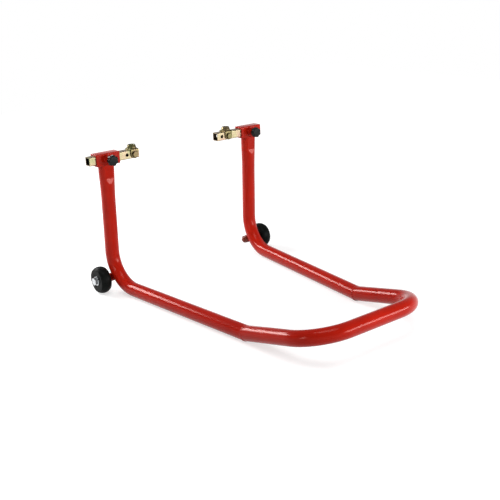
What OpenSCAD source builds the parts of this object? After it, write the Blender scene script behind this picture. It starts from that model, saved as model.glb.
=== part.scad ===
// Paddock stand: a bent-tube lifting frame on two wheels, with two clamped
// sliding arms that carry the fork rests. Sizes are in millimetres. +Z is up,
// -Y is the handle end, and the origin lies on the floor under the middle.

/* [Overall] */
// Length from the front of the handle to the back of the wheels
overall_length = 720; // [660:5:800]
// Width over the outer rolling edges of the two wheels
overall_width = 500; // [480:5:560]
// Height of the sliding arms' centre line above the floor
arm_height = 325; // [280:5:380]

/* [Frame tube] */
// Outside diameter of the round frame tube
tube_d = 33.4; // [30:0.2:36]
// Wall of the round frame tube
tube_wall = 2.6; // [1.6:0.2:4]
// How far the upright's centre line leans forward by the height of the arms
upright_lean = 16.7; // [10:0.1:30]
// Centre-line radius of the bend from upright to leg
rear_bend_r = 78; // [66:1:90]
// Distance from the middle of the stand to the weld between leg and handle
weld_x = 158.6; // [145:0.2:175]
// How far the weld between leg and handle lies in front of the origin
weld_y = 131.2; // [110:0.2:150]
// Distance from the middle to the handle's virtual front corner
corner_x = 148.3; // [130:0.1:156]
// Height of the handle's crossbar centre line
crossbar_z = 66.2; // [40:0.2:90]
// Centre-line radius of the handle's front corners
corner_r = 85; // [70:1:95]
// Length of the pressed stretch at the top of each upright
press_length = 31; // [20:1:50]
// Length of the ramps that lead from the round tube to the pressed stretch
ramp_length = 15; // [10:1:30]
// Thickness of the pressed tube end, front to back
press_depth = 27; // [24:0.5:32]
// Width of the pressed tube end, side to side
press_width = 38.5; // [34:0.5:42]

/* [Sleeves and arms] */
// Length of the square sleeve on top of each upright
sleeve_length = 60; // [50:1:80]
// Outside width of the sleeve
sleeve_width = 28; // [27:0.5:34]
// Outside width of the square sliding arm
arm_width = 20; // [18:0.5:22]
// Wall of the sliding arm
arm_wall = 2; // [1.2:0.2:3]
// Length of each sliding arm
arm_length = 130; // [115:1:150]
// Gap all round between arm and sleeve
arm_gap = 0.5; // [0.3:0.1:0.8]
// Distance from the middle of the stand to each fork rest, as the stand is set
rest_x = 136.5; // [125:0.5:140]
// Distance from the arm's inner end to its first cross hole
first_hole = 13.5; // [12:0.5:16]
// Distance between the arm's two cross holes
hole_pitch = 19; // [17:0.5:22]
// Clearance hole for the cross bolt
cross_hole_d = 8.5; // [8.3:0.1:9.5]

/* [Fork rests] */
// Plate thickness of the bent saddle
saddle_plate = 3; // [2:0.5:4]
// Gap between the saddle and the arm inside it
saddle_gap = 0.3; // [0.2:0.1:0.6]
// Diameter at the foot of the cup
cup_foot_d = 22; // [20:0.5:26]
// Diameter at the rim of the cup
cup_rim_d = 18; // [16:0.5:20]
// Height of the cup above its saddle
cup_height = 8; // [6:0.5:14]
// Diameter of the cup's socket
socket_d = 10; // [8:0.5:12]
// Depth of the cup's socket below its dished mouth
socket_depth = 4; // [3:0.5:4.5]

/* [Clamp screws] */
// Thread diameter of the clamp screw
screw_d = 10; // [8:0.5:12]
// Width across flats of the nut welded to the sleeve
weld_nut_flats = 17; // [16:0.5:20]
// Height of the welded nut
weld_nut_h = 8; // [6:0.5:10]
// Diameter over the knob's lobes
knob_d = 25; // [22:0.5:34]
// Thickness of the knob's lobed head
knob_head_h = 11; // [8:0.5:16]
// Length of the knob's neck
knob_neck_h = 4.5; // [3:0.5:8]
// Number of flutes round the knob
knob_flutes = 7; // [5:1:9]

/* [Wheels] */
// Wheel diameter
wheel_d = 65; // [60:1:70]
// Width of the wheel between its flat faces
wheel_width = 26; // [22:0.5:30]
// Radius across the wheel's crowned rolling surface
crown_r = 20.3; // [18:0.1:26]
// How far the wheel's outer face stands out past its rolling edge
face_past = 6; // [4:0.5:8]
// Diameter of the shallow recess in the wheel's outer face
recess_d = 26; // [24:0.5:32]
// Depth of that recess
recess_depth = 1.5; // [0.5:0.1:3]
// Diameter of the hub that stands out on the wheel's inner side
hub_d = 20; // [18:0.5:26]
// How far the hub stands out on the inner side
hub_length = 6; // [2:0.5:8]
// Outside diameter of the bush in the wheel
bush_d = 14; // [13:0.5:16]
// Outside diameter of the tube boss that carries the axle
boss_d = 20; // [18:0.5:24]
// Steel left between the axle bolt's hole and the frame tube behind it
boss_web = 0.6; // [0.4:0.1:3]

/* [Bolts] */
// Thread diameter of the axle bolt
axle_bolt_d = 10; // [9:0.5:11]
// Width across flats of the axle bolt's head and nut
axle_flats = 17; // [16:0.5:18]
// Outside diameter of the washer under the axle bolt's head
washer_d = 22; // [20:0.5:23]
// Thread diameter of the saddle's cross bolt
cross_bolt_d = 8; // [7:0.5:8]
// Width across flats of the cross bolt's head and nut
cross_flats = 13; // [12:0.5:14]

/* [Hidden] */

$fn = 72;
LEFT = -1;
RIGHT = 1;
eps = 0.01;
big = 400;
past = 1;            // how far a hole's cutter runs past the faces that it opens

// Clearances and overlaps
run_gap = 0.08;      // radial, a bush turning on its bolt or a screw in its nut
seat_gap = 0.05;     // radial, pieces fixed in one another
side_gap = 0.3;      // between faces that move past each other
nut_gap = 0.3;       // between the axle nut and the frame tube beside it
swell = 0.12;        // how much thicker a bend is than the straight tube that runs into it
lap = 2;             // how far the straight tube runs into a bend
press_lap = 0.3;     // how far the pressed stretch runs into the round one
hull_sides = 32;

// Standard fasteners: the head's and nut's heights, and how far the end stands out of the nut
function head_h(d) = 0.66 * d;
function nut_h(d) = 0.8 * d;
function proud(d) = 0.4 * d;
washer_h = 2;
axle_bolt_r = axle_bolt_d / 2;
axle_nut_h = nut_h(axle_bolt_d);
cross_bolt_r = cross_bolt_d / 2;

function unit(v) = v / norm(v);
function turn_between(u, v) = acos(min(1, max(-1, u * v)));
function reach(p, q, s, r) = r * tan(turn_between(unit(q - p), unit(s - q)) / 2);
function columns(x, y, z, o) =
    [[x.x, y.x, z.x, o.x], [x.y, y.y, z.y, o.y], [x.z, y.z, z.z, o.z], [0, 0, 0, 1]];
function any_normal(z) = unit(cross(abs(z.x) < 0.9 ? [1, 0, 0] : [0, 1, 0], z));

// Wheels, seen from the middle of the stand outwards along X
wheel_r = wheel_d / 2;
axle_y = overall_length / 2 - wheel_r;
face_out = overall_width / 2 + face_past;
face_in = face_out - wheel_width;
hub_in = face_in - hub_length;
boss_out = hub_in - side_gap;
recess_in = face_out - recess_depth;
washer_in = recess_in + side_gap;
head_in = washer_in + washer_h;

// The uprights stand flush with the outer ends of the axle bosses
tube_r = tube_d / 2;
bore_r = tube_r - tube_wall;
upright_x = boss_out - tube_r;

// The bend from upright to leg passes just in front of the axle bolt. The leg's direction
// hardly depends on where the rear corner lies, so here the axle stands in for the corner.
drop_way = unit([0, upright_lean, tube_r - arm_height]);
splay_way = unit([weld_x - upright_x, -weld_y - axle_y, 0]);
rear_inward = unit(splay_way - (splay_way * drop_way) * drop_way);
rear_centre = rear_bend_r * (rear_inward - tan(turn_between(drop_way, splay_way) / 2) * drop_way);
axle_reach = rear_bend_r + tube_r + swell + boss_web + run_gap + axle_bolt_r;
axle_rise = wheel_r - tube_r - rear_centre.z;
axle_way = [0, sqrt(pow(axle_reach, 2) - pow(axle_rise, 2)), axle_rise] / axle_reach;
rear_y = axle_y - rear_centre.y - axle_reach * axle_way.y;

// The axle nut turns a flat to the bend and lies as far in as it must to clear it
bend_x = upright_x + rear_centre.x + rear_bend_r * (rear_inward * axle_way) * rear_inward.x;
nut_turn = atan2(-axle_way.y, axle_way.z) - 30;
nut_reach = axle_reach - rear_bend_r - axle_flats / 2 - nut_gap;
boss_in = bend_x - sqrt(pow(tube_r + swell, 2) - pow(nut_reach, 2));
boss_length = boss_out - boss_in;

// Corner points of the frame's centre line, on the right-hand side
top_point = [upright_x, rear_y - upright_lean, arm_height];
rear_point = [upright_x, rear_y, tube_r];
weld_point = [weld_x, -weld_y, tube_r];
corner_point = [corner_x, -overall_length / 2 + tube_r, crossbar_z];
corner_mirror = [-corner_point.x, corner_point.y, corner_point.z];

// The mitre between leg and handle bisects the two centre lines
leg_way = unit(weld_point - rear_point);
handle_way = unit(corner_point - weld_point);
mitre_way = unit(leg_way + handle_way);

// Where the upright's round stretch ends and its pressed stretch starts
upright_way = unit(top_point - rear_point);
press_start = rear_point + upright_way * (norm(top_point - rear_point)
    - sleeve_width / 2 - press_length - ramp_length);

// Arms and sleeves
arm_y = top_point.y;
sleeve_bore = arm_width + 2 * arm_gap;
sleeve_under = arm_height - sleeve_width / 2;
sleeve_front = arm_y - sleeve_width / 2;
arm_front = arm_y - arm_width / 2;
arm_top = arm_height + arm_width / 2;
sleeve_corner = 2.5;
arm_corner = 2;
least_corner = 0.5;
second_hole = first_hole + hole_pitch;

// Fork rests
cheek_out = arm_width / 2 + saddle_gap + saddle_plate;
web_top = arm_top + saddle_gap + saddle_plate;
saddle_w = arm_width;
dish_depth = 1.5;
cup_band = 2;
cup_lip = 1;

// Clamp screws and knobs
screw_hole_gap = 0.5;
bare_thread = 1.5;
knob_back = sleeve_front - weld_nut_h - bare_thread;
screw_tip = arm_front - side_gap;
knob_socket = 8;
knob_neck_d = 1.5 * screw_d;
knob_edge = 2.5;
flute_r = 4;
flute_depth = 1.6;

// Puts its children at a point, with their Z along a direction
module along(point, direction) {
    z = unit(direction);
    x = any_normal(z);
    multmatrix(columns(x, cross(z, x), z, point)) children();
}

module rod(a, b, r) {
    along(a, b - a) cylinder(r = r, h = norm(b - a));
}

// The piece of torus that joins two straight stretches at corner q
module bend(p, q, s, r_bend, r) {
    u = unit(q - p);
    v = unit(s - q);
    turn = turn_between(u, v);
    inward = unit(v - (v * u) * u);
    start = q - u * reach(p, q, s, r_bend);
    multmatrix(columns(-inward, u, cross(-inward, u), start + inward * r_bend))
        rotate_extrude(angle = turn) translate([r_bend, 0]) circle(r + swell);
}

// A round bar of radius r along corner points, each with its own bend radius
module bent_bar(points, radii, r) {
    last = len(points) - 1;
    cut = [for (i = [0:last]) i == 0 || i == last ? 0
        : reach(points[i - 1], points[i], points[i + 1], radii[i])];
    for (i = [0:last - 1]) {
        u = unit(points[i + 1] - points[i]);
        start = points[i] + u * (i == 0 ? 0 : cut[i] - lap);
        end = points[i + 1] - u * (i == last - 1 ? 0 : cut[i + 1] - lap);
        rod(start, end, r);
    }
    for (i = [1:last - 1]) bend(points[i - 1], points[i], points[i + 1], radii[i], r);
}

// Everything on the far side of a plane through a point
module beyond(point, direction) {
    along(point, direction) translate([-big / 2, -big / 2, 0]) cube(big);
}

module on_side(side) {
    if (side == LEFT) mirror([1, 0, 0]) children();
    else children();
}

// Turns its children so that their Z points outwards along X, on the axle
module on_axle(side, x) {
    on_side(side) translate([x, axle_y, wheel_r]) rotate([0, 90, 0]) children();
}

// Cuts a hole of radius r right through a piece of thickness h
module drill(r, h) {
    translate([0, 0, -past]) cylinder(r = r, h = h + 2 * past);
}

module hexagon(flats, h) {
    cylinder(d = flats / cos(30), h = h, $fn = 6);
}

module rounded_square(w, r) {
    square([w - 2 * r, w], center = true);
    square([w, w - 2 * r], center = true);
    for (x = [-1, 1], y = [-1, 1])
        translate([x * (w / 2 - r), y * (w / 2 - r)]) circle(r);
}

// A square tube of length l along X, centred on the origin
module square_tube(w, bore, r, l) {
    rotate([0, 90, 0]) difference() {
        linear_extrude(l, center = true) rounded_square(w, r);
        linear_extrude(l + 2 * past, center = true)
            rounded_square(bore, max(least_corner, r - (w - bore) / 2));
    }
}

// A tube of radius r pressed between flat dies to width w and depth d: the round end, the
// even stretch and the ramps between them, whose flats narrow to a point on the round tube
module pressed_stretch(r, w, d) {
    along(press_start - upright_way * press_lap, upright_way) hull() {
        cylinder(r = (r + swell / 2) / cos(180 / hull_sides), h = eps, $fn = hull_sides);
        translate([0, 0, press_lap + ramp_length]) linear_extrude(press_length + lap)
            for (y = [-1, 1]) translate([0, y * (w - d) / 2]) circle(d = d, $fn = hull_sides);
    }
}

module side_tube(side) {
    past_weld = weld_point + leg_way * tube_d;
    path = [press_start, rear_point, past_weld];
    radii = [0, rear_bend_r, 0];
    color("firebrick") on_side(side) difference() {
        union() {
            bent_bar(path, radii, tube_r);
            pressed_stretch(tube_r, press_width, press_depth);
        }
        bent_bar(path, radii, bore_r);
        pressed_stretch(bore_r, press_width - 2 * tube_wall, press_depth - 2 * tube_wall);
        beyond(weld_point, mitre_way);
        translate([0, 0, sleeve_under]) beyond([upright_x, arm_y, 0], [0, 0, 1]);
    }
}

module handle_tube() {
    before_weld = weld_point - handle_way * tube_d;
    before_mirror = [-before_weld.x, before_weld.y, before_weld.z];
    path = [before_weld, corner_point, corner_mirror, before_mirror];
    radii = [0, corner_r, corner_r, 0];
    color("firebrick") difference() {
        bent_bar(path, radii, tube_r);
        bent_bar(path, radii, bore_r);
        beyond(weld_point, -mitre_way);
        mirror([1, 0, 0]) beyond(weld_point, -mitre_way);
    }
}

module sleeve(side) {
    color("firebrick") on_side(side) difference() {
        translate([upright_x, arm_y, arm_height])
            square_tube(sleeve_width, sleeve_bore, sleeve_corner, sleeve_length);
        translate([upright_x, arm_y, arm_height]) rotate([90, 0, 0])
            cylinder(r = screw_d / 2 + screw_hole_gap, h = sleeve_width);
    }
}

module weld_nut(side) {
    color("firebrick") on_side(side) translate([upright_x, sleeve_front, arm_height])
        rotate([90, 0, 0]) difference() {
            hexagon(weld_nut_flats, weld_nut_h);
            drill(screw_d / 2 + run_gap, weld_nut_h);
        }
}

// Short tube notched to the back of the rear bend, which it is welded to
module axle_boss(side) {
    color("firebrick") on_side(side) difference() {
        on_axle(RIGHT, boss_in) difference() {
            cylinder(d = boss_d, h = boss_length);
            drill(axle_bolt_r + run_gap, boss_length);
        }
        bend(top_point, rear_point, weld_point, rear_bend_r, tube_r);
    }
}

module axle_bolt(side) {
    tip = boss_in - axle_nut_h - proud(axle_bolt_d);
    head = head_h(axle_bolt_d);
    color("silver") {
        on_axle(side, tip) cylinder(r = axle_bolt_r, h = head_in + head / 2 - tip);
        on_axle(side, head_in) hexagon(axle_flats, head);
    }
}

module axle_washer(side) {
    color("silver") on_axle(side, washer_in) difference() {
        cylinder(d = washer_d, h = washer_h);
        drill(axle_bolt_r + seat_gap, washer_h);
    }
}

module axle_nut(side) {
    color("silver") on_axle(side, boss_in - axle_nut_h) rotate(nut_turn) difference() {
        hexagon(axle_flats, axle_nut_h);
        drill(axle_bolt_r + seat_gap, axle_nut_h);
    }
}

// Half section of the wheel: x is the radius and y runs outwards along the axle
module wheel_section() {
    difference() {
        union() {
            translate([0, -hub_length]) square([hub_d / 2, hub_length + wheel_width / 2]);
            intersection() {
                square([wheel_d, wheel_width]);
                translate([wheel_r - crown_r, wheel_width / 2]) circle(crown_r);
            }
        }
        translate([-past, -hub_length - past])
            square([bush_d / 2 + seat_gap + past, hub_length + wheel_width + 2 * past]);
        translate([-past, wheel_width - recess_depth])
            square([recess_d / 2 + past, recess_depth + past]);
    }
}

module wheel(side) {
    color("dimgray") on_axle(side, face_in) rotate_extrude() wheel_section();
}

module wheel_bush(side) {
    color("silver") on_axle(side, hub_in) difference() {
        cylinder(d = bush_d, h = recess_in - hub_in);
        drill(axle_bolt_r + run_gap, recess_in - hub_in);
    }
}

// Distance from the arm's inner end to the hole that its fork rest uses
function used_hole(side) = side == LEFT ? first_hole : second_hole;
function arm_inner(side) = rest_x - used_hole(side);

module arm(side) {
    inner = arm_inner(side);
    color("goldenrod") on_side(side) difference() {
        translate([inner + arm_length / 2, arm_y, arm_height])
            square_tube(arm_width, arm_width - 2 * arm_wall, arm_corner, arm_length);
        for (x = [first_hole, second_hole])
            translate([inner + x, arm_y + arm_width, arm_height]) rotate([90, 0, 0])
                cylinder(d = cross_hole_d, h = 2 * arm_width);
    }
}

// Bent plate that straddles the arm: two round-ended cheeks and a flat web
module saddle(side) {
    cheek = cheek_out - saddle_plate;
    color("goldenrod") on_side(side) translate([rest_x, arm_y, arm_height]) difference() {
        union() {
            rotate([90, 0, 0]) cylinder(d = saddle_w, h = 2 * cheek_out, center = true);
            translate([-saddle_w / 2, -cheek_out, 0])
                cube([saddle_w, 2 * cheek_out, web_top - arm_height]);
        }
        translate([-saddle_w, -cheek, -saddle_w])
            cube([2 * saddle_w, 2 * cheek, saddle_w + web_top - saddle_plate - arm_height]);
        rotate([90, 0, 0])
            cylinder(r = cross_bolt_r + seat_gap, h = 3 * cheek_out, center = true);
    }
}

module fork_cup(side) {
    mouth_r = socket_d / 2 + dish_depth;
    color("goldenrod") on_side(side) translate([rest_x, arm_y, web_top]) difference() {
        rotate_extrude() polygon([[0, 0], [cup_foot_d / 2, 0], [cup_foot_d / 2, cup_band],
            [cup_rim_d / 2, cup_height - cup_lip], [cup_rim_d / 2 - cup_lip, cup_height],
            [0, cup_height]]);
        translate([0, 0, cup_height - dish_depth - socket_depth])
            cylinder(d = socket_d, h = cup_height);
        translate([0, 0, cup_height - dish_depth])
            cylinder(r1 = socket_d / 2, r2 = mouth_r + eps, h = dish_depth + eps);
    }
}

module saddle_bolt(side) {
    head = head_h(cross_bolt_d);
    shank = 2 * cheek_out + nut_h(cross_bolt_d) + proud(cross_bolt_d);
    color("goldenrod") on_side(side) translate([rest_x, arm_y - cheek_out, arm_height])
        rotate([-90, 0, 0]) {
            translate([0, 0, -head]) hexagon(cross_flats, head);
            translate([0, 0, -head / 2]) cylinder(r = cross_bolt_r, h = shank + head / 2);
        }
}

module saddle_nut(side) {
    color("goldenrod") on_side(side) translate([rest_x, arm_y + cheek_out, arm_height])
        rotate([-90, 0, 0]) difference() {
            hexagon(cross_flats, nut_h(cross_bolt_d));
            drill(cross_bolt_r + seat_gap, nut_h(cross_bolt_d));
        }
}

module clamp_screw(side) {
    color("silver") on_side(side) translate([upright_x, screw_tip, arm_height])
        rotate([90, 0, 0]) cylinder(d = screw_d, h = screw_tip - knob_back + knob_socket);
}

module knob_section() {
    neck_r = knob_neck_d / 2;
    r = knob_d / 2;
    square([neck_r, knob_neck_h + knob_head_h]);
    translate([0, knob_neck_h]) square([r, knob_head_h - knob_edge]);
    translate([0, knob_neck_h]) square([r - knob_edge, knob_head_h]);
    translate([r - knob_edge, knob_neck_h + knob_head_h - knob_edge]) circle(knob_edge);
}

module knob(side) {
    color("dimgray") on_side(side) translate([upright_x, knob_back, arm_height])
        rotate([90, 0, 0]) difference() {
            rotate_extrude() intersection() {
                knob_section();
                square(knob_d + knob_head_h);
            }
            translate([0, 0, -past])
                cylinder(r = screw_d / 2 + seat_gap, h = past + knob_socket + seat_gap);
            for (i = [0:knob_flutes - 1]) rotate(i * 360 / knob_flutes)
                translate([knob_d / 2 + flute_r - flute_depth, 0, knob_neck_h - past])
                    cylinder(r = flute_r, h = knob_head_h + 2 * past);
        }
}

side_tube(LEFT);  // side_tube_left
side_tube(RIGHT);  // side_tube_right
handle_tube();
sleeve(LEFT);  // sleeve_left
sleeve(RIGHT);  // sleeve_right
weld_nut(LEFT);  // weld_nut_left
weld_nut(RIGHT);  // weld_nut_right
axle_boss(LEFT);  // axle_boss_left
axle_boss(RIGHT);  // axle_boss_right
axle_bolt(LEFT);  // axle_bolt_left
axle_bolt(RIGHT);  // axle_bolt_right
axle_washer(LEFT);  // axle_washer_left
axle_washer(RIGHT);  // axle_washer_right
axle_nut(LEFT);  // axle_nut_left
axle_nut(RIGHT);  // axle_nut_right
wheel(LEFT);  // wheel_left
wheel(RIGHT);  // wheel_right
wheel_bush(LEFT);  // wheel_bush_left
wheel_bush(RIGHT);  // wheel_bush_right
arm(LEFT);  // arm_left
arm(RIGHT);  // arm_right
saddle(LEFT);  // saddle_left
saddle(RIGHT);  // saddle_right
fork_cup(LEFT);  // fork_cup_left
fork_cup(RIGHT);  // fork_cup_right
saddle_bolt(LEFT);  // saddle_bolt_left
saddle_bolt(RIGHT);  // saddle_bolt_right
saddle_nut(LEFT);  // saddle_nut_left
saddle_nut(RIGHT);  // saddle_nut_right
clamp_screw(LEFT);  // clamp_screw_left
clamp_screw(RIGHT);  // clamp_screw_right
knob(LEFT);  // knob_left
knob(RIGHT);  // knob_right
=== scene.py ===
import bpy
import numpy as np
from mathutils import Matrix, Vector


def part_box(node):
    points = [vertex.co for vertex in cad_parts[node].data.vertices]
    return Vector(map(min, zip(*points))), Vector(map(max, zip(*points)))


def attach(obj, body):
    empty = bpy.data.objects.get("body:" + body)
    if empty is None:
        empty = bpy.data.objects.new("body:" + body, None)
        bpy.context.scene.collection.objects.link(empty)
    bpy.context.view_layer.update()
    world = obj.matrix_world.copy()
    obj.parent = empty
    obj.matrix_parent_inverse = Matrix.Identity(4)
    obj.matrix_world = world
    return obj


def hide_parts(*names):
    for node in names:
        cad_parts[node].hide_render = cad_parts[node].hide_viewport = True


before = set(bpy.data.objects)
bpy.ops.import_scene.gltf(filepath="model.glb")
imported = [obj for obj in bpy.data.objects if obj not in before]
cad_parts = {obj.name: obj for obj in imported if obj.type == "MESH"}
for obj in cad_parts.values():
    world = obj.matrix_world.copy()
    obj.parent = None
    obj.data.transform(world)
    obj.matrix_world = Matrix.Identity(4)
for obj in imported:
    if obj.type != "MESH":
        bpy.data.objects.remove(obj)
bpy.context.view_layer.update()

# Side tubes. Each is one length of 33.4 mm steel tube: a leg along the floor, a bend and a
# leaning upright, whose top is pressed between flat dies until it fits under its sleeve. It is
# mitred at the front for the handle, and coated with gloss red powder after welding.

# The points are the corners of the centre line on the right-hand side: at the weld, in the bend
# and at the top. The last one is the handle's.
tube_r, rear_bend_r = 0.0167, 0.078
weld_point = np.array([0.1586, -0.1312, tube_r])
rear_point = np.array([0.2070, 0.330467, tube_r])
top_point = np.array([0.2070, 0.313767, 0.325])
corner_point = np.array([0.1483, -0.3433, 0.0662])
press_length, press_width, press_depth = 0.031, 0.0385, 0.027
ramp_length, widen_length, thinning = 0.015, 0.055, 0.0006


def linear(hex_colour):
    """Linear RGBA of an sRGB hex colour: the standard curve, channel by channel."""
    c = np.array([int(hex_colour[i:i + 2], 16) for i in (1, 3, 5)]) / 255
    c = np.where(c <= 0.04045, c / 12.92, ((c + 0.055) / 1.055) ** 2.4)
    return (*c, 1.0)


def feed(node, inputs):
    """Each input goes on the node's socket of that name or number, as a value or as a link."""
    for socket, value in inputs.items():
        if isinstance(value, bpy.types.NodeSocket):
            node.id_data.links.new(value, node.inputs[socket])
        else:
            node.inputs[socket].default_value = value


def add(tree, kind, inputs=None, stops=(), **settings):
    """A new node with its inputs and settings. The stops, if any, go on its colour ramp: each is
    a place from 0 to 1 and a hex colour."""
    node = tree.nodes.new(kind)
    for name, value in settings.items():
        setattr(node, name, value)
    if stops:
        elements = node.color_ramp.elements
        while len(elements) < len(stops):
            elements.new(0.5)
        for element, (place, colour) in zip(elements, stops):
            element.position = place
            element.color = linear(colour)
    feed(node, inputs or {})
    return node


def finish(name, **uniform):
    """A new material with a principled shader that is the same all over in what uniform sets.
    Returns the material, its tree, its shader and the object's coordinates."""
    material = bpy.data.materials.new(name)
    material.use_nodes = True
    tree = material.node_tree
    shader = tree.nodes["Principled BSDF"]
    feed(shader, {socket.replace("_", " "): value for socket, value in uniform.items()})
    return material, tree, shader, add(tree, "ShaderNodeTexCoord").outputs["Object"]


# Gloss polyester powder coat on steel, sprayed and baked. It gives a deep warm red with a hard
# top skin, a fine orange peel about 2 mm from crest to crest, and a depth that is slightly uneven
# over 50 mm or so.
red_coat, tree, shader, place = finish(
    "gloss_red_powder_coat", Roughness=0.18, IOR=1.5, Specular_IOR_Level=0.22,
    Specular_Tint=linear("#FFBBB2"))
cloud = add(tree, "ShaderNodeTexNoise", {"Vector": place, "Scale": 18.0, "Detail": 2.0})
red = add(tree, "ShaderNodeValToRGB", {"Fac": cloud.outputs["Fac"]},
          [(0.3, "#A9190A"), (0.7, "#B71D0D")])
peel = add(tree, "ShaderNodeTexNoise", {"Vector": place, "Scale": 450.0, "Detail": 1.0})
relief = add(tree, "ShaderNodeBump",
             {"Height": peel.outputs["Fac"], "Distance": 0.000016, "Strength": 1.0})
feed(shader, {"Base Color": red.outputs["Color"], "Normal": relief.outputs["Normal"]})


def unit(v):
    """Each vector divided by its length."""
    return v / np.linalg.norm(v, axis=-1, keepdims=True)


def bent_path(corners, radii, step=0.004):
    """Centre line through corner points. Between bends a point goes evenly along the straight,
    and in a bend it goes round the circle that touches both straights. Returns the points, the
    directions there, and the direction square to the plane that the whole line lies in."""
    ways = unit(np.diff(corners, axis=0))
    points, along = [], []
    here = corners[0]
    for i, r in enumerate(radii, start=1):
        u, v = ways[i - 1], ways[i]
        turn = np.arccos(u @ v)
        cut = r * np.tan(turn / 2)
        inward = unit(v - (v @ u) * u)
        start = corners[i] - u * cut
        t = np.linspace(0, 1, int(np.linalg.norm(start - here) / step) + 1)[:-1, None]
        points.append(here + (start - here) * t)
        along.append(np.broadcast_to(u, (len(t), 3)))
        a = np.linspace(0, turn, int(r * turn / step) + 2)[:-1, None]
        points.append(start + r * (inward + np.sin(a) * u - np.cos(a) * inward))
        along.append(np.cos(a) * u + np.sin(a) * inward)
        here = corners[i] + v * cut
    t = np.linspace(0, 1, int(np.linalg.norm(corners[-1] - here) / step) + 1)[:, None]
    points.append(here + (corners[-1] - here) * t)
    along.append(np.broadcast_to(ways[-1], (len(t), 3)))
    return np.vstack(points), np.vstack(along), unit(np.cross(ways[0], ways[1]))


def spokes(along, across, count):
    """At each point of a line, the unit vectors square to it, all round, starting from the side
    that is square to both the line and the direction across."""
    turn = np.linspace(0, 2 * np.pi, count, endpoint=False)[:, None]
    side = np.cross(across, along)[:, None]
    return np.cos(turn) * side + np.sin(turn) * across


def slide(ring, way, point, normal):
    """The ring with each of its points moved along way until it lies in a plane: by its distance
    from the plane over the share of way that is square to the plane."""
    return ring + way * (((point - ring) @ normal) / (way @ normal))[:, None]


def pressed(wide, deep, half_width, half_depth, flat):
    """Distance from the middle to the skin of a pressed tube, in the direction whose parts along
    the width and the depth are wide and deep: an ellipse cut off by a flat on either side."""
    oval = 1 / np.hypot(wide / half_width, deep / half_depth)
    return np.minimum(oval, flat / np.maximum(np.abs(deep), 1e-9))


def shell(grid, ring=False):
    """Closed skin over a grid of points. Each row joins up with itself and with the next row.
    On a ring the last row joins the first, and otherwise a fan of triangles closes each end.
    The faces are turned round if the volume inside, the sum of the triangles' triple products,
    comes out negative."""
    rows, count = grid.shape[:2]
    i = np.arange(rows if ring else rows - 1)[:, None] * count
    j = np.arange(count)[None]
    below, beside = (i + count) % (rows * count), (j + 1) % count
    quads = np.stack(np.broadcast_arrays(i + j, i + beside, below + beside, below + j), -1)
    faces = [quads.reshape(-1, 4)]
    points = grid.reshape(-1, 3)
    if not ring:
        j, beside, last = j[0], beside[0], (rows - 1) * count
        hub = np.full(count, len(points))
        points = np.vstack([points, grid[0].mean(0), grid[-1].mean(0)])
        faces += [np.stack([hub, beside, j], -1), np.stack([hub + 1, last + j, last + beside], -1)]
    volume = sum(np.einsum("ij,ij->", points[f[:, 0]],
                           np.cross(points[f[:, a]], points[f[:, a + 1]]))
                 for f in faces for a in range(1, f.shape[1] - 1))
    return points, [f[:, ::-1] if volume < 0 else f for f in faces]


def piece(name, shells, body, slot, material, *nodes):
    """One object out of closed shells, each its points and its groups of faces. It is smooth but
    for the edges that turn by more than 28 degrees, moves with a body, takes the material given
    and stands for the CAD nodes. The slot is not used."""
    crease = np.radians(28)
    points, faces, first = [], [], 0
    for corners, groups in shells:
        points.append(corners)
        faces += [face for group in groups for face in (group + first).tolist()]
        first += len(corners)
    mesh = bpy.data.meshes.new(name)
    mesh.from_pydata(np.vstack(points).tolist(), [], faces)
    mesh.shade_smooth()
    mesh.set_sharp_from_angle(angle=crease)
    mesh.materials.append(material)
    made = bpy.data.objects.new(name, mesh)
    bpy.context.scene.collection.objects.link(made)
    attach(made, body)
    if nodes:
        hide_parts(*nodes)


X, Y, Z = np.eye(3)
SIDES = {"left": np.array([-1, 1, 1]), "right": np.array([1, 1, 1])}
leg_way = unit(weld_point - rear_point)
handle_way = unit(corner_point - weld_point)
mitre_way = unit(leg_way + handle_way)
upright_way = unit(top_point - rear_point)

# The pressed stretch ends under the sleeve. Below it the tube widens smoothly over one length,
# and the two flats run in over a shorter one, from just outside the round tube. The rows lie
# close together there and far apart on the plain tube.
line, along, across = bent_path(np.array([weld_point, rear_point, top_point]), [rear_bend_r])
sleeve_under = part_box("sleeve_right")[0].z
upright_length = np.linalg.norm(top_point - rear_point)
press_top = upright_length - (top_point[2] - sleeve_under)
press_from = press_top - press_length
fine_from, fine_to, fine_rows, row_gap = press_from - 0.06, press_top - 0.002, 110, 0.002
plain = (line - rear_point) @ upright_way < fine_from - row_gap
fine = np.linspace(fine_from, fine_to, fine_rows)
line = np.vstack([line[plain], rear_point + fine[:, None] * upright_way, top_point])
along = np.vstack([along[plain], np.broadcast_to(upright_way, (fine_rows + 1, 3))])
rise = ((line - rear_point) @ upright_way)[:, None]
out = spokes(along, across, count=128)
deep_way = unit(np.cross(upright_way, X))
widen = np.clip((rise - press_from + widen_length) / (press_length + widen_length), 0, 1)
widen = widen * widen * (3 - 2 * widen)
flat_from = tube_r + 0.0002
flat = press_depth / 2 + (flat_from - press_depth / 2) * np.maximum(
    (press_from - rise) / ramp_length, 0)
skin_r = pressed(out @ X, out @ deep_way, tube_r + widen * (press_width / 2 - tube_r),
                 tube_r - thinning * widen, flat)
skin_r = np.where(rise < fine_from - row_gap / 2, tube_r, skin_r)
side_skin = line[:, None] + skin_r[..., None] * out
side_skin[0] = slide(side_skin[0], leg_way, weld_point, mitre_way)
side_skin[-1] = slide(side_skin[-1], upright_way, sleeve_under * Z, Z)
for side, mirror in SIDES.items():
    piece(f"bent_tube_{side}", [shell(side_skin * mirror)], "frame", "red_coat", red_coat,
          f"side_tube_{side}")

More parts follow.
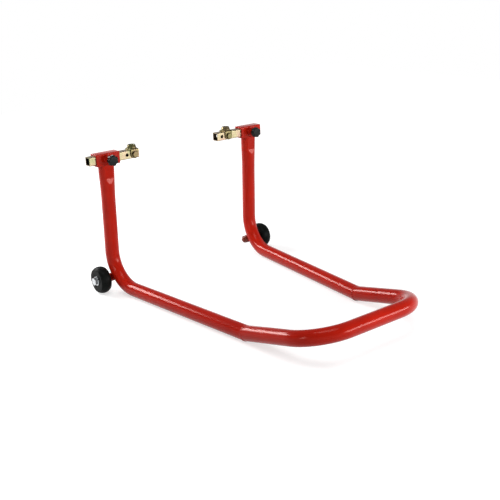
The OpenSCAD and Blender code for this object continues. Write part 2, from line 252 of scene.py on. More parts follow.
# Handle. A U of the same tube with two bends in its own tilted plane, cut by the same mitre
# planes as the legs and butt-welded to them. The bead was left as welded, with its ripples, and
# coated over.
corner_r = 0.085
flip = SIDES["left"]
line, along, across = bent_path(
    np.array([weld_point, corner_point, corner_point * flip, weld_point * flip]),
    [corner_r, corner_r])
handle_skin = line[:, None] + tube_r * spokes(along, across, count=96)
handle_skin[0] = slide(handle_skin[0], handle_way, weld_point, mitre_way)
handle_skin[-1] = slide(handle_skin[-1], handle_way * flip, weld_point * flip, mitre_way * flip)
piece("bent_handle", [shell(handle_skin)], "frame", "red_coat", red_coat, "handle_tube")


def bead(seam, out, half_width, height, closed=True, ripple=0.0022):
    """Weld bead: a half-sunk oval section carried along a seam, as wide as twice half_width and
    as high as height on the side out. It shrinks by the dip and swells again once in each ripple,
    as the size of a sine does. An open bead thins to a point at both ends, as a square root."""
    dip, sides = 0.28, 16
    steps = np.roll(seam, -1, 0) - np.roll(seam, 1, 0) if closed else np.gradient(seam, axis=0)
    beside = unit(np.cross(out, unit(steps)))
    gone = np.cumsum(np.linalg.norm(np.diff(seam, axis=0, prepend=seam[:1]), axis=1))
    waves = max(1, round(gone[-1] / ripple))
    swell = 1 - dip * np.abs(np.sin(np.pi * waves * gone / gone[-1]))
    if not closed:
        end = np.minimum(gone, gone[-1] - gone) / (2 * half_width)
        swell = swell * np.sqrt(np.clip(end, 0.02, 1))
    turn = np.linspace(0, 2 * np.pi, sides, endpoint=False)[:, None]
    section = np.cos(turn) * half_width * beside[:, None] + np.sin(turn) * height * out[:, None]
    return shell(seam[:, None] + swell[:, None, None] * section, ring=closed)


def ring_points(middle, a, b, ra, rb, count=160):
    """Points and outward directions round an ellipse with half axes ra and rb along a and b."""
    turn = np.linspace(0, 2 * np.pi, count, endpoint=False)[:, None]
    points = middle + ra * np.cos(turn) * a + rb * np.sin(turn) * b
    return points, unit(rb * np.cos(turn) * a + ra * np.sin(turn) * b)


# The seam is the ellipse in which the mitre plane cuts the tube. The bead doesn't reach below the
# underside of the leg, which lies on the floor.
mitre_up = unit(np.cross(leg_way, handle_way))
mitre_side = unit(np.cross(mitre_way, mitre_up))
seam, seam_out = ring_points(weld_point, mitre_side, mitre_up,
                             tube_r / (mitre_way @ leg_way), tube_r)
for side, mirror in SIDES.items():
    weld, faces = bead(seam * mirror, seam_out * mirror, half_width=0.0028, height=0.0007)
    weld[:, 2] = np.maximum(weld[:, 2], 0)
    piece(f"mitre_weld_{side}", [(weld, faces)], "frame", "red_coat", red_coat)

# Sleeves. A 60 mm length of 28 mm square tube, sawn square, its rims filed round, and welded
# across the flattened top of each upright. The arm slides in it.
sleeve_low, sleeve_high = (np.array(corner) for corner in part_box("sleeve_right"))
sleeve_middle = (sleeve_low + sleeve_high) / 2
sleeve_half = sleeve_high - sleeve_middle
sleeve_corner, sleeve_bore, rim_r = 0.0025, 0.0105, 0.0006


def rounded(corners, radii, steps=6):
    """Closed outline in which a circle that touches both sides rounds each corner. Its centre
    lies on the line that halves the corner, and its arc is blended evenly by angle."""
    corners, radii = np.array(corners, float), np.array(radii, float)[:, None]
    before = unit(np.roll(corners, 1, 0) - corners)
    after = unit(np.roll(corners, -1, 0) - corners)
    half = np.arccos(np.clip((before * after).sum(1), -1, 1))[:, None] / 2
    half = np.minimum(half, np.pi / 2 - 1e-4)
    middle = corners + unit(before + after + 1e-12) * radii / np.sin(half)
    start = corners + before * radii / np.tan(half) - middle
    stop = corners + after * radii / np.tan(half) - middle
    turn = (np.pi - 2 * half)[:, None]
    t = np.linspace(0, 1, steps)[None, :, None]
    arc = np.sin((1 - t) * turn) * start[:, None] + np.sin(t * turn) * stop[:, None]
    return (middle[:, None] + arc / np.sin(turn)).reshape(-1, 2)


def square_wall(outline, outer, corner, way, a, b, middle):
    """Square tube: each point of the wall's outline, a half width and a place along the tube,
    goes round a square whose corners are rounded about the same centres all through the wall."""
    steps, least_r = 8, 0.0005
    half, height = outline[:, :1], outline[:, 1:]
    r = np.maximum(corner - (outer - half), least_r)
    turn = np.linspace(0, np.pi / 2, steps) + np.arange(4)[:, None] * np.pi / 2
    diagonal = turn.mean(1)
    turn = turn.reshape(1, -1)
    u = (half - r) * np.sign(np.cos(diagonal)).repeat(steps) + r * np.cos(turn)
    v = (half - r) * np.sign(np.sin(diagonal)).repeat(steps) + r * np.sin(turn)
    return middle + height[..., None] * way + u[..., None] * a + v[..., None] * b


wall = rounded([[sleeve_half[2], -sleeve_half[0]], [sleeve_half[2], sleeve_half[0]],
                [sleeve_bore, sleeve_half[0]], [sleeve_bore, -sleeve_half[0]]], [rim_r] * 4)
sleeve_skin = square_wall(wall, sleeve_half[2], sleeve_corner, X, Y, Z, sleeve_middle)
seam = side_skin[-1]
seam_out = unit((seam - seam.mean(0)) * [1, 1, 0])
for side, mirror in SIDES.items():
    piece(f"square_sleeve_{side}", [shell(sleeve_skin * mirror, ring=True)], "frame", "red_coat",
          red_coat, f"sleeve_{side}")
    bead_out = unit(seam_out * mirror - 1.2 * Z)
    piece(f"sleeve_weld_{side}", [bead(seam * mirror, bead_out, half_width=0.0024, height=0.0011)],
          "frame", "red_coat", red_coat)

# Welded nuts. A hexagon nut with 17 mm across its flats, welded over the hole in the front of
# each sleeve and coated with it. The clamp screw turns in it.
weld_flats, weld_bore, weld_ring_r = 0.017, 0.00508, 0.0090
weld_back = sleeve_middle - [0, sleeve_half[1], 0]
weld_high = weld_back[1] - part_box("weld_nut_right")[0].y

# The number of points all round each nut, bolt and thread. A hexagon's corners fall on points.
facets = 96


def turned(radius, height, start, way, corner, count=facets):
    """Turned shape: each radius and height goes round the axis that leads from start along way,
    and angle 0 points to corner. The radius may also depend on the angle."""
    radius, height = (np.broadcast_to(v if v.ndim > 1 else v[:, None], (len(v), count))
                      for v in (np.asarray(radius), np.asarray(height)))
    turn = np.linspace(0, 2 * np.pi, count, endpoint=False)
    out = np.cos(turn)[:, None] * corner + np.sin(turn)[:, None] * np.cross(way, corner)
    return start + height[..., None] * way + radius[..., None] * out


def hexagon(flats):
    """Radius of a hexagon all round, from one corner: half the flats over the cosine of the
    angle from the nearest flat's middle."""
    turn = np.linspace(0, 2 * np.pi, facets, endpoint=False)
    return flats / 2 / np.cos(turn % (np.pi / 3) - np.pi / 6)


def hexagon_end(flats, top, face, steps=4):
    """Rows from a hexagon's flat round face, 0.95 flats across, to its sides, over the cone of 30
    degrees that is turned on its corners. The face lies at the height top and looks to the side
    of the sign face."""
    start, slope = 0.475 * flats, np.tan(np.radians(30))
    t = np.linspace(0, 1, steps)[:, None]
    radius = start + (hexagon(flats) - start) * t
    return radius, top - face * (radius - start) * slope


def nut(flats, high, bore, start, way, corner):
    """Nut: a bore with a short cone at each end, two flat faces, and chamfered sides. The section
    goes up the outside and back down the bore."""
    lead = 0.0006
    low_r, low_h = hexagon_end(flats, 0, -1)
    top_r, top_h = hexagon_end(flats, high, 1)
    inside = np.array([bore + lead, bore, bore, bore + lead])
    levels = np.array([high, high - lead, lead, 0])
    level = np.ones(facets)
    radius = np.vstack([low_r, top_r[::-1], inside[:, None] * level])
    height = np.vstack([low_h, top_h[::-1], levels[:, None] * level])
    return shell(turned(radius, height, start, way, corner), ring=True)


seam, seam_out = ring_points(weld_back, X, Z, weld_ring_r, weld_ring_r)
for side, mirror in SIDES.items():
    piece(f"screw_boss_nut_{side}",
          [nut(weld_flats, weld_high, weld_bore, weld_back * mirror, -Y, X)],
          "frame", "red_coat", red_coat, f"weld_nut_{side}")
    bead_out = unit(seam_out * mirror - Y)
    piece(f"screw_boss_weld_{side}",
          [bead(seam * mirror, bead_out, half_width=0.0014, height=0.0012)],
          "frame", "red_coat", red_coat)

# Axle bosses. A short thick tube, 20 mm across, notched to fit the back of each bend and welded
# to it along the seam. It carries the axle bolt.
boss_r, boss_bore, boss_rim_r, seam_half_angle, seam_points = 0.010, 0.00508, 0.0006, 50, 90
wheel_low, wheel_high = (np.array(corner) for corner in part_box("wheel_right"))
axle = (wheel_low + wheel_high) / 2 * [0, 1, 1]
boss_in, boss_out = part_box("axle_boss_right")[0].x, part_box("axle_boss_right")[1].x
wall = rounded([[boss_r, 0], [boss_r, boss_out - boss_in], [boss_bore, boss_out - boss_in],
                [boss_bore, 0]], [boss_rim_r] * 4)
boss_skin = turned(wall[:, 0], wall[:, 1], axle + boss_in * X, X, Y)
turn_way = unit(np.cross(upright_way, -leg_way))
bend_inward = unit(upright_way - (upright_way @ leg_way) * leg_way)
bend_cut = rear_bend_r * np.tan(np.arccos(-leg_way @ upright_way) / 2)
bend_middle = rear_point + bend_cut * leg_way + rear_bend_r * bend_inward


def outside_bend(p):
    """How far a point lies outside the bend's skin: its distance from the circle that the centre
    line follows, less the tube's radius."""
    lift = (p - bend_middle) @ turn_way
    in_plane = p - bend_middle - lift[..., None] * turn_way
    return np.hypot(np.linalg.norm(in_plane, axis=-1) - rear_bend_r, lift) - tube_r


# The seam runs where the boss's skin meets the bend's. On each line along the boss it is found by
# halving, between a place inside the tube and one outside.
toward = unit((bend_middle - axle) * [0, 1, 1])
turn = np.radians(np.linspace(-seam_half_angle, seam_half_angle, seam_points))[:, None]
boss_out_way = np.cos(turn) * toward + np.sin(turn) * np.cross(X, toward)
inside_x, outside_x = bend_middle[0] + 0.001, 0.230
low, high = np.full_like(turn, inside_x), np.full_like(turn, outside_x)
for _ in range(30):
    middle = (low + high) / 2
    inside = outside_bend(axle + middle * X + boss_r * boss_out_way)[:, None] < 0
    low, high = np.where(inside, middle, low), np.where(inside, high, middle)
seam = axle + middle * X + boss_r * boss_out_way
for side, mirror in SIDES.items():
    piece(f"axle_tube_{side}", [shell(boss_skin * mirror, ring=True)], "frame", "red_coat",
          red_coat, f"axle_boss_{side}")
    piece(f"axle_tube_weld_{side}",
          [bead(seam * mirror, unit(boss_out_way + X) * mirror, half_width=0.0022, height=0.0016,
                closed=False)],
          "frame", "red_coat", red_coat)

# Wheels. A solid wheel of hard black rubber, moulded in two halves, with a crowned rolling
# surface, a shallow round recess for the washer and a short hub on the inner side. A steel bush
# is pressed into its bore.
wheel_r, wheel_width, crown_r, hub_r, hub_length = 0.0325, 0.026, 0.0203, 0.010, 0.006
recess_r, recess_depth, recess_slope, bush_r = 0.013, 0.0015, 0.0006, 0.00705
groove_half, groove_depth = 0.0004, 0.0003
face_in = wheel_high[0] - wheel_width

# Solid rubber, moulded and lightly polished by the mould. It gives a satin near-black that is
# greyer where it is scuffed, with a fine grain about 1 mm across.
wheel_rubber, tree, shader, place = finish(
    "moulded_black_rubber", IOR=1.35, Specular_IOR_Level=0.08)
scuff = add(tree, "ShaderNodeTexNoise", {"Vector": place, "Scale": 60.0, "Detail": 5.0})
black = add(tree, "ShaderNodeValToRGB", {"Fac": scuff.outputs["Fac"]},
            [(0.35, "#0A0C0B"), (0.62, "#131514"), (0.8, "#1F2120")])
rough = add(tree, "ShaderNodeMapRange",
            {"Value": scuff.outputs["Fac"], "To Min": 0.30, "To Max": 0.52})
grain = add(tree, "ShaderNodeTexNoise", {"Vector": place, "Scale": 900.0, "Detail": 2.0})
relief = add(tree, "ShaderNodeBump",
             {"Height": grain.outputs["Fac"], "Distance": 0.00006, "Strength": 1.0})
feed(shader, {"Base Color": black.outputs["Color"], "Roughness": rough.outputs["Result"],
              "Normal": relief.outputs["Normal"]})

# The outline goes from the bore over the hub and the crown, with the fine groove of the parting
# line in its middle, to the recess. The crown is an arc of its own radius. Each corner has its
# own rounding.
parting = wheel_width / 2
height = np.concatenate([np.linspace(0, parting - 2 * groove_half, 9),
                         [parting - groove_half, parting, parting + groove_half],
                         np.linspace(parting + 2 * groove_half, wheel_width, 9)])
crown = wheel_r - crown_r + np.sqrt(crown_r ** 2 - (height - parting) ** 2)
groove_row = len(height) // 2
crown[groove_row] -= groove_depth
crown_round = np.full(len(height), 0.004)
crown_round[[0, -1]] = 0.0008
crown_round[groove_row - 1:groove_row + 2] = 0.00015
wall = rounded(
    np.vstack([[[bush_r, -hub_length], [hub_r, -hub_length], [hub_r, 0]],
               np.stack([crown, height], 1),
               [[recess_r + recess_slope, wheel_width], [recess_r, wheel_width - recess_depth],
                [bush_r, wheel_width - recess_depth]]]),
    [0.0004, 0.0012, 0.0008, *crown_round, 0.0005, 0.0005, 0.0003])
wheel_skin = turned(wall[:, 0], wall[:, 1], axle + face_in * X, X, Y, count=144)
for side, mirror in SIDES.items():
    piece(f"solid_wheel_{side}", [shell(wheel_skin * mirror, ring=True)], f"wheel_{side}_body",
          "wheel_rubber", wheel_rubber, f"wheel_{side}")

# Axle fasteners. An M10 hexagon bolt of cold-formed steel runs through washer, bush and boss to a
# nut on the inner side, which is coated red with the frame, as is the thread's end in it. The
# wheel turns between boss and washer.
axle_d, axle_pitch, axle_flats, axle_head, axle_threaded = 0.010, 0.0015, 0.017, 0.0066, 0.014
washer_r, washer_high, axle_hole_r = 0.011, 0.002, 0.00505
bolt_low, bolt_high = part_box("axle_bolt_right")
head_in = bolt_high.x - axle_head
nut_high = boss_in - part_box("axle_nut_right")[0].x

# The nut clears the bend beside it because it turns a flat to it. This is the way from its middle
# to one of its corners.
nut_corner = np.array([0, -0.3708, 0.9287])

# Bright zinc, electroplated on steel and clear passivated. It gives a cool, bright metal with
# faint blotches a few millimetres across. The satin of the plating is far finer than what is
# drawn here, which is 0.7 mm across so that it shows.
bright_zinc, tree, shader, place = finish("bright_zinc_plating", Metallic=1.0)
blotch = add(tree, "ShaderNodeTexNoise", {"Vector": place, "Scale": 220.0, "Detail": 3.0})
silver = add(tree, "ShaderNodeValToRGB", {"Fac": blotch.outputs["Fac"]},
             [(0.3, "#B9BDC0"), (0.7, "#DDE0E2")])
rough = add(tree, "ShaderNodeMapRange",
            {"Value": blotch.outputs["Fac"], "To Min": 0.22, "To Max": 0.38})
satin = add(tree, "ShaderNodeTexNoise", {"Vector": place, "Scale": 1400.0, "Detail": 1.0})
relief = add(tree, "ShaderNodeBump",
             {"Height": satin.outputs["Fac"], "Distance": 0.00002, "Strength": 1.0})
feed(shader, {"Base Color": silver.outputs["Color"], "Roughness": rough.outputs["Result"],
              "Normal": relief.outputs["Normal"]})


rows_per_turn = 10


def threaded(diameter, heights, pitch, runs_to, runs_from=-1.0):
    """Radius of a screw thread by height and angle: a triangle wave that advances by one pitch in
    each turn, 0.6 pitches deep, held inside a cone of 45 degrees in the last millimetre before
    runs_to. It gets its depth over one pitch from runs_from, or has it all along."""
    chamfer = 0.001
    turn = np.linspace(0, 1, facets, endpoint=False)[None]
    h = heights[:, None]
    wave = np.abs(2 * ((h / pitch - turn) % 1) - 1)
    deep = 0.6 * pitch * wave * np.clip((h - runs_from) / pitch, 0, 1)
    return diameter / 2 - np.maximum(deep, h - runs_to + chamfer)


def bolt(flats, head, diameter, length, pitch, threaded_length, start, way, corner):
    """Hexagon bolt. Its head ends at start, and its shank runs from there along way: the head's
    flat face, its chamfer and sides, the fillet under it, the plain shank and the thread."""
    side_end = -0.0004
    face_r, face_h = hexagon_end(flats, -head, -1)
    under_r = np.array([0.49 * flats, diameter / 2 + 0.0004, diameter / 2 + 0.0001, diameter / 2])
    under_h = np.array([-0.0001, 0, 0.0003, 0.0006])
    heights = np.linspace(length - threaded_length, length,
                          int(threaded_length / pitch * rows_per_turn))
    level = np.ones(facets)
    radius = np.vstack([face_r, hexagon(flats), under_r[:, None] * level,
                        threaded(diameter, heights, pitch, length, heights[0])])
    height = np.vstack([face_h, side_end * level, under_h[:, None] * level,
                        heights[:, None] * level])
    return shell(turned(radius, height, start, way, corner))


# A copy of the red coat with a duller, browner colour, for the nut and the end of the thread.
duller_red_coat = red_coat.copy()
duller_red_coat.name = "duller_red_powder_coat"
for node in duller_red_coat.node_tree.nodes:
    if node.type == "VALTORGB":
        for stop, colour in zip(node.color_ramp.elements, ("#743629", "#864233")):
            stop.color = linear(colour)

# The bolt is made as far as the middle of its nut. The stub of thread that stands out of the nut
# is coated with it, so it is made with the nut, from a little way inside.
into_nut, stub_inside = 0.004, 0.001
washer = rounded([[axle_hole_r, 0], [washer_r, 0], [washer_r, washer_high],
                  [axle_hole_r, washer_high]], [0.0002, 0.0004, 0.0005, 0.0003])
stub = np.linspace(-stub_inside, boss_in - nut_high - bolt_low.x, 40)
stub_r = threaded(axle_d, stub, axle_pitch, stub[-1])
for side, mirror in SIDES.items():
    way = X * mirror
    head_under, washer_under, boss_end, nut_end = (
        (axle + x * X) * mirror
        for x in (head_in, head_in - washer_high, boss_in, boss_in - nut_high))
    piece(f"hex_bolt_{side}",
          [bolt(axle_flats, axle_head, axle_d, head_in - boss_in + into_nut, axle_pitch,
                axle_threaded, head_under, -way, -Z)],
          "frame", "bright_zinc", bright_zinc, f"axle_bolt_{side}")
    piece(f"flat_washer_{side}",
          [shell(turned(washer[:, 0], washer[:, 1], washer_under, way, Z), ring=True)],
          "frame", "bright_zinc", bright_zinc, f"axle_washer_{side}")
    piece(f"hex_nut_{side}",
          [nut(axle_flats, nut_high, axle_hole_r, boss_end, -way, nut_corner),
           shell(turned(stub_r, stub, nut_end, -way, Z))],
          "frame", "red_coat", duller_red_coat, f"axle_nut_{side}")
    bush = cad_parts[f"wheel_bush_{side}"]
    bush.data.materials.clear()
    bush.data.materials.append(bright_zinc)

# Arms. A 130 mm length of drawn 20 mm square tube with two cross holes, sawn square. It slides
# in its sleeve and is zinc-plated. Its CAD shape is kept, with its real holes and corners.
arm_low, arm_high = (np.array(corner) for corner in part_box("arm_right"))

# Yellow passivated zinc on drawn steel. It gives a pale straw gold with soft iridescence, from
# green to pink over 10 to 30 mm, and faint streaks along the tube from drawing it. The inside
# of the tube is painted dark as shade, down to 0.06 of the colour. The inside is what lies less
# than about 8 mm from the arm's centre line, up or down and to either side.
yellow_zinc, tree, shader, place = finish("yellow_zinc_plating", Metallic=1.0)
film = add(tree, "ShaderNodeTexNoise", {"Vector": place, "Scale": 45.0, "Detail": 3.0})
tint = add(tree, "ShaderNodeValToRGB", {"Fac": film.outputs["Fac"]},
           [(0.30, "#90926C"), (0.45, "#A29577"), (0.58, "#A6927A"), (0.72, "#A5897C")])
stretch = add(tree, "ShaderNodeMapping", {"Vector": place, "Scale": (25.0, 900.0, 900.0)})
streak = add(tree, "ShaderNodeTexNoise", {"Vector": stretch.outputs["Vector"], "Scale": 1.0})
shade = add(tree, "ShaderNodeMapRange",
            {"Value": streak.outputs["Fac"], "To Min": 0.82, "To Max": 1.0})
# Painted shade: inside the tube the colour is darkened to 0.06, with a soft edge at about 8 mm.
off = add(tree, "ShaderNodeVectorMath", {0: place, 1: (arm_low + arm_high) / 2},
          operation="SUBTRACT")
away = add(tree, "ShaderNodeVectorMath", {0: off.outputs[0]}, operation="ABSOLUTE")
apart = add(tree, "ShaderNodeSeparateXYZ", {"Vector": away.outputs[0]})
widest = add(tree, "ShaderNodeMath", {0: apart.outputs["Y"], 1: apart.outputs["Z"]},
             operation="MAXIMUM")
inside_shade = add(tree, "ShaderNodeMapRange",
             {"Value": widest.outputs[0], "From Min": 0.0081, "From Max": 0.0085, "To Min": 0.06,
              "To Max": 1.0})
# The drawing streaks and the painted shade inside the tube, multiplied together.
streaks_and_inside_shade = add(tree, "ShaderNodeMath", {0: shade.outputs["Result"], 1: inside_shade.outputs["Result"]},
            operation="MULTIPLY")
gold = add(tree, "ShaderNodeMix", {0: 1.0, 6: tint.outputs["Color"], 7: streaks_and_inside_shade.outputs[0]},
           data_type="RGBA", blend_type="MULTIPLY")
rough = add(tree, "ShaderNodeMapRange",
            {"Value": streak.outputs["Fac"], "To Min": 0.26, "To Max": 0.42})
relief = add(tree, "ShaderNodeBump",
             {"Height": streak.outputs["Fac"], "Distance": 0.00002, "Strength": 1.0})
feed(shader, {"Base Color": gold.outputs[2], "Roughness": rough.outputs["Result"],
              "Normal": relief.outputs["Normal"]})
for side in SIDES:
    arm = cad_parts[f"arm_{side}"]
    arm.data.materials.clear()
    arm.data.materials.append(yellow_zinc)

# Fork rests. A 3 mm plate bent over the arm, with round-ended cheeks, carries a turned cup with
# a socket for the fork leg's end. An M8 bolt goes through both cheeks and the arm to a nut.
arm_height = top_point[2]
plate, plate_bend_r = 0.003, 0.0035
cup_foot_r, cup_rim_r, cup_high, cup_foot_high = 0.011, 0.009, 0.008, 0.002
socket_r, socket_depth, dish_depth = 0.005, 0.004, 0.0015
cross_d, cross_pitch, cross_flats, cross_head = 0.008, 0.00125, 0.013, 0.00528
cross_threaded, cross_nut, cross_proud, cross_gap = 0.012, 0.0064, 0.0032, 0.00005
saddle_low, saddle_high = (np.array(corner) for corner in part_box("saddle_right"))
saddle_half = (saddle_high - saddle_low) / 2
web_top = saddle_high[2] - arm_height

# A copy of the same plating, darker and more olive, for the fork rests' pieces.
olive_zinc = yellow_zinc.copy()
olive_zinc.name = "olive_zinc_plating"
for node in olive_zinc.node_tree.nodes:
    if node.type == "VALTORGB":
        for stop in node.color_ramp.elements:
            stop.color = np.array(stop.color) * (0.44, 0.46, 0.34, 1.0)


def bent_plate(half_width, half_span, top, thickness, bend_r):
    """Bent plate: its middle line goes up one cheek, over the web and down the other cheek, and
    a flat section with rounded edges follows it. Below the bolt's level the section narrows as
    the chord of a circle does, which makes each cheek's round end."""
    edge, steps, tip = 0.0006, 5, 0.06
    mid_y, mid_z, r = half_span - thickness / 2, top - thickness / 2, bend_r - thickness / 2
    fall = half_width * np.cos(np.linspace(tip, np.pi / 2, 24))
    straight = np.linspace(0, mid_z - r, 5)[1:]
    cheek = np.ones(len(fall) + len(straight))
    a = np.linspace(0, np.pi / 2, 10)[1:]
    y = np.concatenate([mid_y * cheek, mid_y - r + r * np.cos(a), [mid_y / 2, 0]])
    z = np.concatenate([-fall, straight, mid_z - r + r * np.sin(a), [mid_z, mid_z]])
    lean = np.concatenate([0 * cheek, a, [np.pi / 2] * 2])
    half = np.where(z < 0, np.sqrt(np.maximum(half_width ** 2 - z ** 2, 0)), half_width)
    y, z = np.concatenate([y, -y[-2::-1]]), np.concatenate([z, z[-2::-1]])
    lean, half = np.concatenate([lean, np.pi - lean[-2::-1]]), np.concatenate([half, half[-2::-1]])
    turn = np.linspace(0, np.pi / 2, steps) + np.arange(4)[:, None] * np.pi / 2
    turn = turn.reshape(1, -1)
    u = np.maximum(half[:, None] - edge, 0.0001) * np.array([1, -1, -1, 1]).repeat(steps)
    v = (thickness / 2 - edge) * np.array([1, 1, -1, -1]).repeat(steps)
    u, v = u + edge * np.cos(turn), v + edge * np.sin(turn)
    outward = np.stack([np.zeros_like(lean), np.cos(lean), np.sin(lean)], 1)
    middle = np.stack([np.zeros_like(y), y, z], 1)
    return middle[:, None] + u[..., None] * X + v[..., None] * outward[:, None]


plate_skin = bent_plate(saddle_half[0], saddle_half[1], web_top, plate, plate_bend_r)

# The cup's outline starts and ends on its axis, with corners that are hardly rounded. These are
# left out again, because the skin's ends close there.
sharp, on_axis = 1e-5, 1e-4
cup = rounded([[0.0, 0.0], [cup_foot_r, 0.0], [cup_foot_r, cup_foot_high], [cup_rim_r, cup_high],
               [socket_r + dish_depth, cup_high], [socket_r, cup_high - dish_depth],
               [socket_r, cup_high - dish_depth - socket_depth],
               [0.0, cup_high - dish_depth - socket_depth]],
              [sharp, 0.0003, 0.0006, 0.0008, 0.0004, 0.0004, 0.0005, sharp])
cup = cup[cup[:, 0] > on_axis]
for side in SIDES:
    low, high = (np.array(corner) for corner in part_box(f"saddle_{side}"))
    rest = np.array([(low[0] + high[0]) / 2, (low[1] + high[1]) / 2, arm_height])
    front, back = rest - saddle_half[1] * Y, rest + saddle_half[1] * Y
    body = f"arm_{side}_body"
    piece(f"bent_saddle_{side}", [shell(rest + plate_skin)], body, "yellow_zinc", olive_zinc,
          f"saddle_{side}")
    piece(f"turned_cup_{side}", [shell(turned(cup[:, 0], cup[:, 1], rest + web_top * Z, Z, X))],
          body, "yellow_zinc", olive_zinc, f"fork_cup_{side}")
    piece(f"cross_bolt_{side}",
          [bolt(cross_flats, cross_head, cross_d, 2 * saddle_half[1] + cross_nut + cross_proud,
                cross_pitch, cross_threaded, front, Y, X)],
          body, "yellow_zinc", olive_zinc, f"saddle_bolt_{side}")
    piece(f"cross_nut_{side}",
          [nut(cross_flats, cross_nut, cross_d / 2 + cross_gap, back, Y, X)],
          body, "yellow_zinc", olive_zinc, f"saddle_nut_{side}")

# Clamp screws. A cut length of M10 threaded rod turns in each welded nut and presses on the arm.
# Its outer end is moulded into a fluted black knob.
screw_d, screw_pitch = 0.010, 0.0015
knob_r, knob_head, knob_edge, neck_r, neck_high = 0.0125, 0.011, 0.0025, 0.0075, 0.0045
flute_r, flute_depth, flutes = 0.004, 0.0016, 7
knob_points = 24 * flutes

# Glass-filled nylon, moulded in one shot. It gives a flat, even black with a fine spark-eroded
# grain about half a millimetre across, worn a little smoother in places about 8 mm across.
black_plastic, tree, shader, place = finish(
    "moulded_black_nylon", IOR=1.53, Specular_IOR_Level=0.12)
cloud = add(tree, "ShaderNodeTexNoise", {"Vector": place, "Scale": 120.0, "Detail": 3.0})
black = add(tree, "ShaderNodeValToRGB", {"Fac": cloud.outputs["Fac"]},
            [(0.35, "#060807"), (0.7, "#0D0F0E")])
rough = add(tree, "ShaderNodeMapRange",
            {"Value": cloud.outputs["Fac"], "To Min": 0.34, "To Max": 0.50})
grain = add(tree, "ShaderNodeTexNoise", {"Vector": place, "Scale": 1800.0, "Detail": 1.0})
relief = add(tree, "ShaderNodeBump",
             {"Height": grain.outputs["Fac"], "Distance": 0.00004, "Strength": 1.0})
feed(shader, {"Base Color": black.outputs["Color"], "Roughness": rough.outputs["Result"],
              "Normal": relief.outputs["Normal"]})


def fluted(radius):
    """Radius all round a fluted knob, for rows of a given radius: the smaller of the knob's own
    radius and the near side of the circle that cuts each flute, blended over half a millimetre,
    and scaled down with the row's radius. Rows well inside the flutes stay round."""
    soft, round_to, fluted_from = 0.00025, 0.62, 0.82
    turn = np.linspace(0, 2 * np.pi, knob_points, endpoint=False)
    away = (turn * flutes / (2 * np.pi) + 0.5) % 1 - 0.5
    away = away * 2 * np.pi / flutes
    far = knob_r + flute_r - flute_depth
    cut = flute_r ** 2 - (far * np.sin(away)) ** 2
    near = np.where(cut > 0, far * np.cos(away) - np.sqrt(np.maximum(cut, 0)), 2 * knob_r)
    lobed = -soft * np.log(np.exp(-near / soft) + np.exp(-knob_r / soft))
    share = np.clip((radius[:, None] / knob_r - round_to) / (fluted_from - round_to), 0, 1)
    return radius[:, None] * (1 + share * (lobed / knob_r - 1))


knob = rounded([[0.0, 0.0], [neck_r, 0.0], [neck_r, neck_high], [knob_r, neck_high],
                [knob_r, neck_high + knob_head], [0.0, neck_high + knob_head]],
               [sharp, 0.0004, 0.001, 0.0008, knob_edge, sharp], steps=8)
knob = knob[knob[:, 0] > on_axis]
for side in SIDES:
    low, high = (np.array(corner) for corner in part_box(f"knob_{side}"))
    back = np.array([(low[0] + high[0]) / 2, high[1], arm_height])
    body = f"clamp_{side}_body"
    piece(f"fluted_knob_{side}",
          [shell(turned(fluted(knob[:, 0]), knob[:, 1], back, -Y, X, count=knob_points))],
          body, "black_plastic", black_plastic, f"knob_{side}")
    low, high = (np.array(corner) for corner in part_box(f"clamp_screw_{side}"))
    length = high[1] - low[1]
    heights = np.linspace(0, length, int(length / screw_pitch * rows_per_turn))
    rod = threaded(screw_d, heights, screw_pitch, length)
    piece(f"threaded_rod_{side}",
          [shell(turned(rod, heights, back * [1, 0, 1] + low[1] * Y, Y, X))],
          body, "bright_zinc", bright_zinc, f"clamp_screw_{side}")

# Floor. A plain sheet of white paper under the stand, 6 m square, which shows its soft shadow.
# What the camera and glossy pieces see of it is lifted to white, fully so from 1.2 m outwards.
floor_half = 3.0
floor_mesh = bpy.data.meshes.new("studio_floor")
floor_mesh.from_pydata([(x * floor_half, y * floor_half, 0)
                        for x, y in ((-1, -1), (1, -1), (1, 1), (-1, 1))], [], [(0, 1, 2, 3)])
floor = bpy.data.objects.new("studio_floor", floor_mesh)
bpy.context.scene.collection.objects.link(floor)
paper = bpy.data.materials.new("white_paper")
paper.use_nodes = True
tree = paper.node_tree
tree.nodes.clear()
matt = add(tree, "ShaderNodeBsdfDiffuse", {"Color": linear("#C4C4C4")})
path = add(tree, "ShaderNodeLightPath")
seen = add(tree, "ShaderNodeMath",
           {0: path.outputs["Is Camera Ray"], 1: path.outputs["Is Glossy Ray"]},
           operation="MAXIMUM")
away = add(tree, "ShaderNodeVectorMath",
           {0: add(tree, "ShaderNodeTexCoord").outputs["Object"]}, operation="LENGTH")
amount = add(tree, "ShaderNodeMapRange",
             {"Value": away.outputs["Value"], "From Min": 0.3, "From Max": 1.2, "To Min": 0.62,
              "To Max": 1.0})
glow = add(tree, "ShaderNodeMath", {0: seen.outputs[0], 1: amount.outputs["Result"]},
           operation="MULTIPLY")
lift = add(tree, "ShaderNodeEmission", {"Strength": glow.outputs[0]})
both = add(tree, "ShaderNodeAddShader", {0: matt.outputs[0], 1: lift.outputs[0]})
add(tree, "ShaderNodeOutputMaterial", {"Surface": both.outputs[0]})
floor_mesh.materials.append(paper)

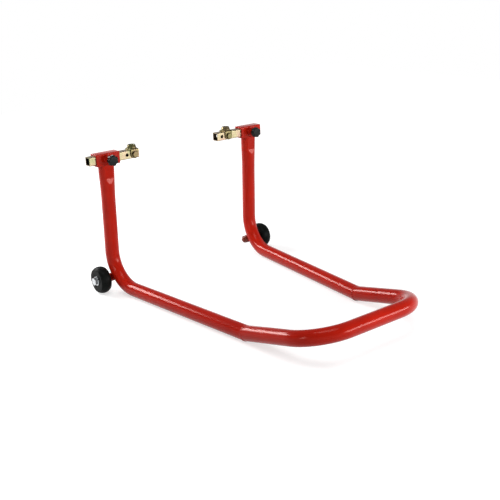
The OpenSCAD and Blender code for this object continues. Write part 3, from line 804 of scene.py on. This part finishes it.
# Light. A room with white walls and a grey ceiling, and four soft boxes: one overhead, a low one
# in front on the right that catches the pressed shoulder of each upright, one behind the wheels
# that draws the bright band along each leg, and a small one on the left for the bends. The room
# lights the stand with 0.55 of the brightness that glossy pieces see, and the camera sees white.
world = bpy.data.worlds.new("white_room")
bpy.context.scene.world = world
world.use_nodes = True
tree = world.node_tree
path = add(tree, "ShaderNodeLightPath")
way = add(tree, "ShaderNodeSeparateXYZ",
          {"Vector": add(tree, "ShaderNodeTexCoord").outputs["Generated"]})
room = add(tree, "ShaderNodeMapRange",
           {"Value": way.outputs["Z"], "From Min": 0.10, "From Max": 0.35, "To Min": 1.0,
            "To Max": 0.30})
dim = add(tree, "ShaderNodeMath", {0: room.outputs["Result"], 1: 0.55}, operation="MULTIPLY")
glossy = add(tree, "ShaderNodeMath",
             {0: path.outputs["Is Glossy Ray"], 1: path.outputs["Is Transmission Ray"]},
             operation="MAXIMUM")
shown = add(tree, "ShaderNodeMix",
            {0: glossy.outputs[0], 2: dim.outputs[0], 3: room.outputs["Result"]})
white = add(tree, "ShaderNodeMix",
            {0: path.outputs["Is Camera Ray"], 2: shown.outputs[0], 3: 1.0})
feed(tree.nodes["Background"], {"Color": linear("#FFFFFF"), "Strength": white.outputs[0]})


def soft_box(name, place, aim, width, height, power):
    """Rectangular lamp at a place, turned to shine at the point aim: its back looks straight
    away from aim, its width lies level, and its height is square to both."""
    lamp = bpy.data.lights.new(name, "AREA")
    lamp.shape, lamp.size, lamp.size_y, lamp.energy = "RECTANGLE", width, height, power
    made = bpy.data.objects.new(name, lamp)
    back = unit(np.array(place, float) - aim)
    right = unit(np.cross(Z, back))
    turn = np.eye(4)
    turn[:3] = np.stack([right, np.cross(back, right), back, place], 1)
    made.matrix_world = Matrix(turn.tolist())
    bpy.context.scene.collection.objects.link(made)


soft_box("overhead", (-0.3, -0.4, 2.2), (0, 0, 0.1), width=1.3, height=0.9, power=15)
soft_box("right_front", (0.85, -1.50, 0.42), (0, 0.1, 0.2), width=1.4, height=0.34, power=24)
soft_box("rear_line", (-0.55, 1.25, 0.76), (0, 0, 0.1), width=0.9, height=0.32, power=17)
soft_box("left_side", (-1.60, -0.30, 0.60), (0, 0, 0.1), width=0.28, height=0.28, power=3.5)

# Camera, a little above the stand and to the left of its handle.
camera = bpy.data.cameras.new("camera")
camera.lens, camera.sensor_width = 63.49, 36
viewer = bpy.data.objects.new("camera", camera)
viewer.location = (-1.1474, -1.4713, 0.7631)
viewer.rotation_euler = np.radians([71.21, 2.56, -37.83])
bpy.context.scene.collection.objects.link(viewer)
bpy.context.scene.camera = viewer
bpy.context.scene.view_settings.view_transform = "Standard"
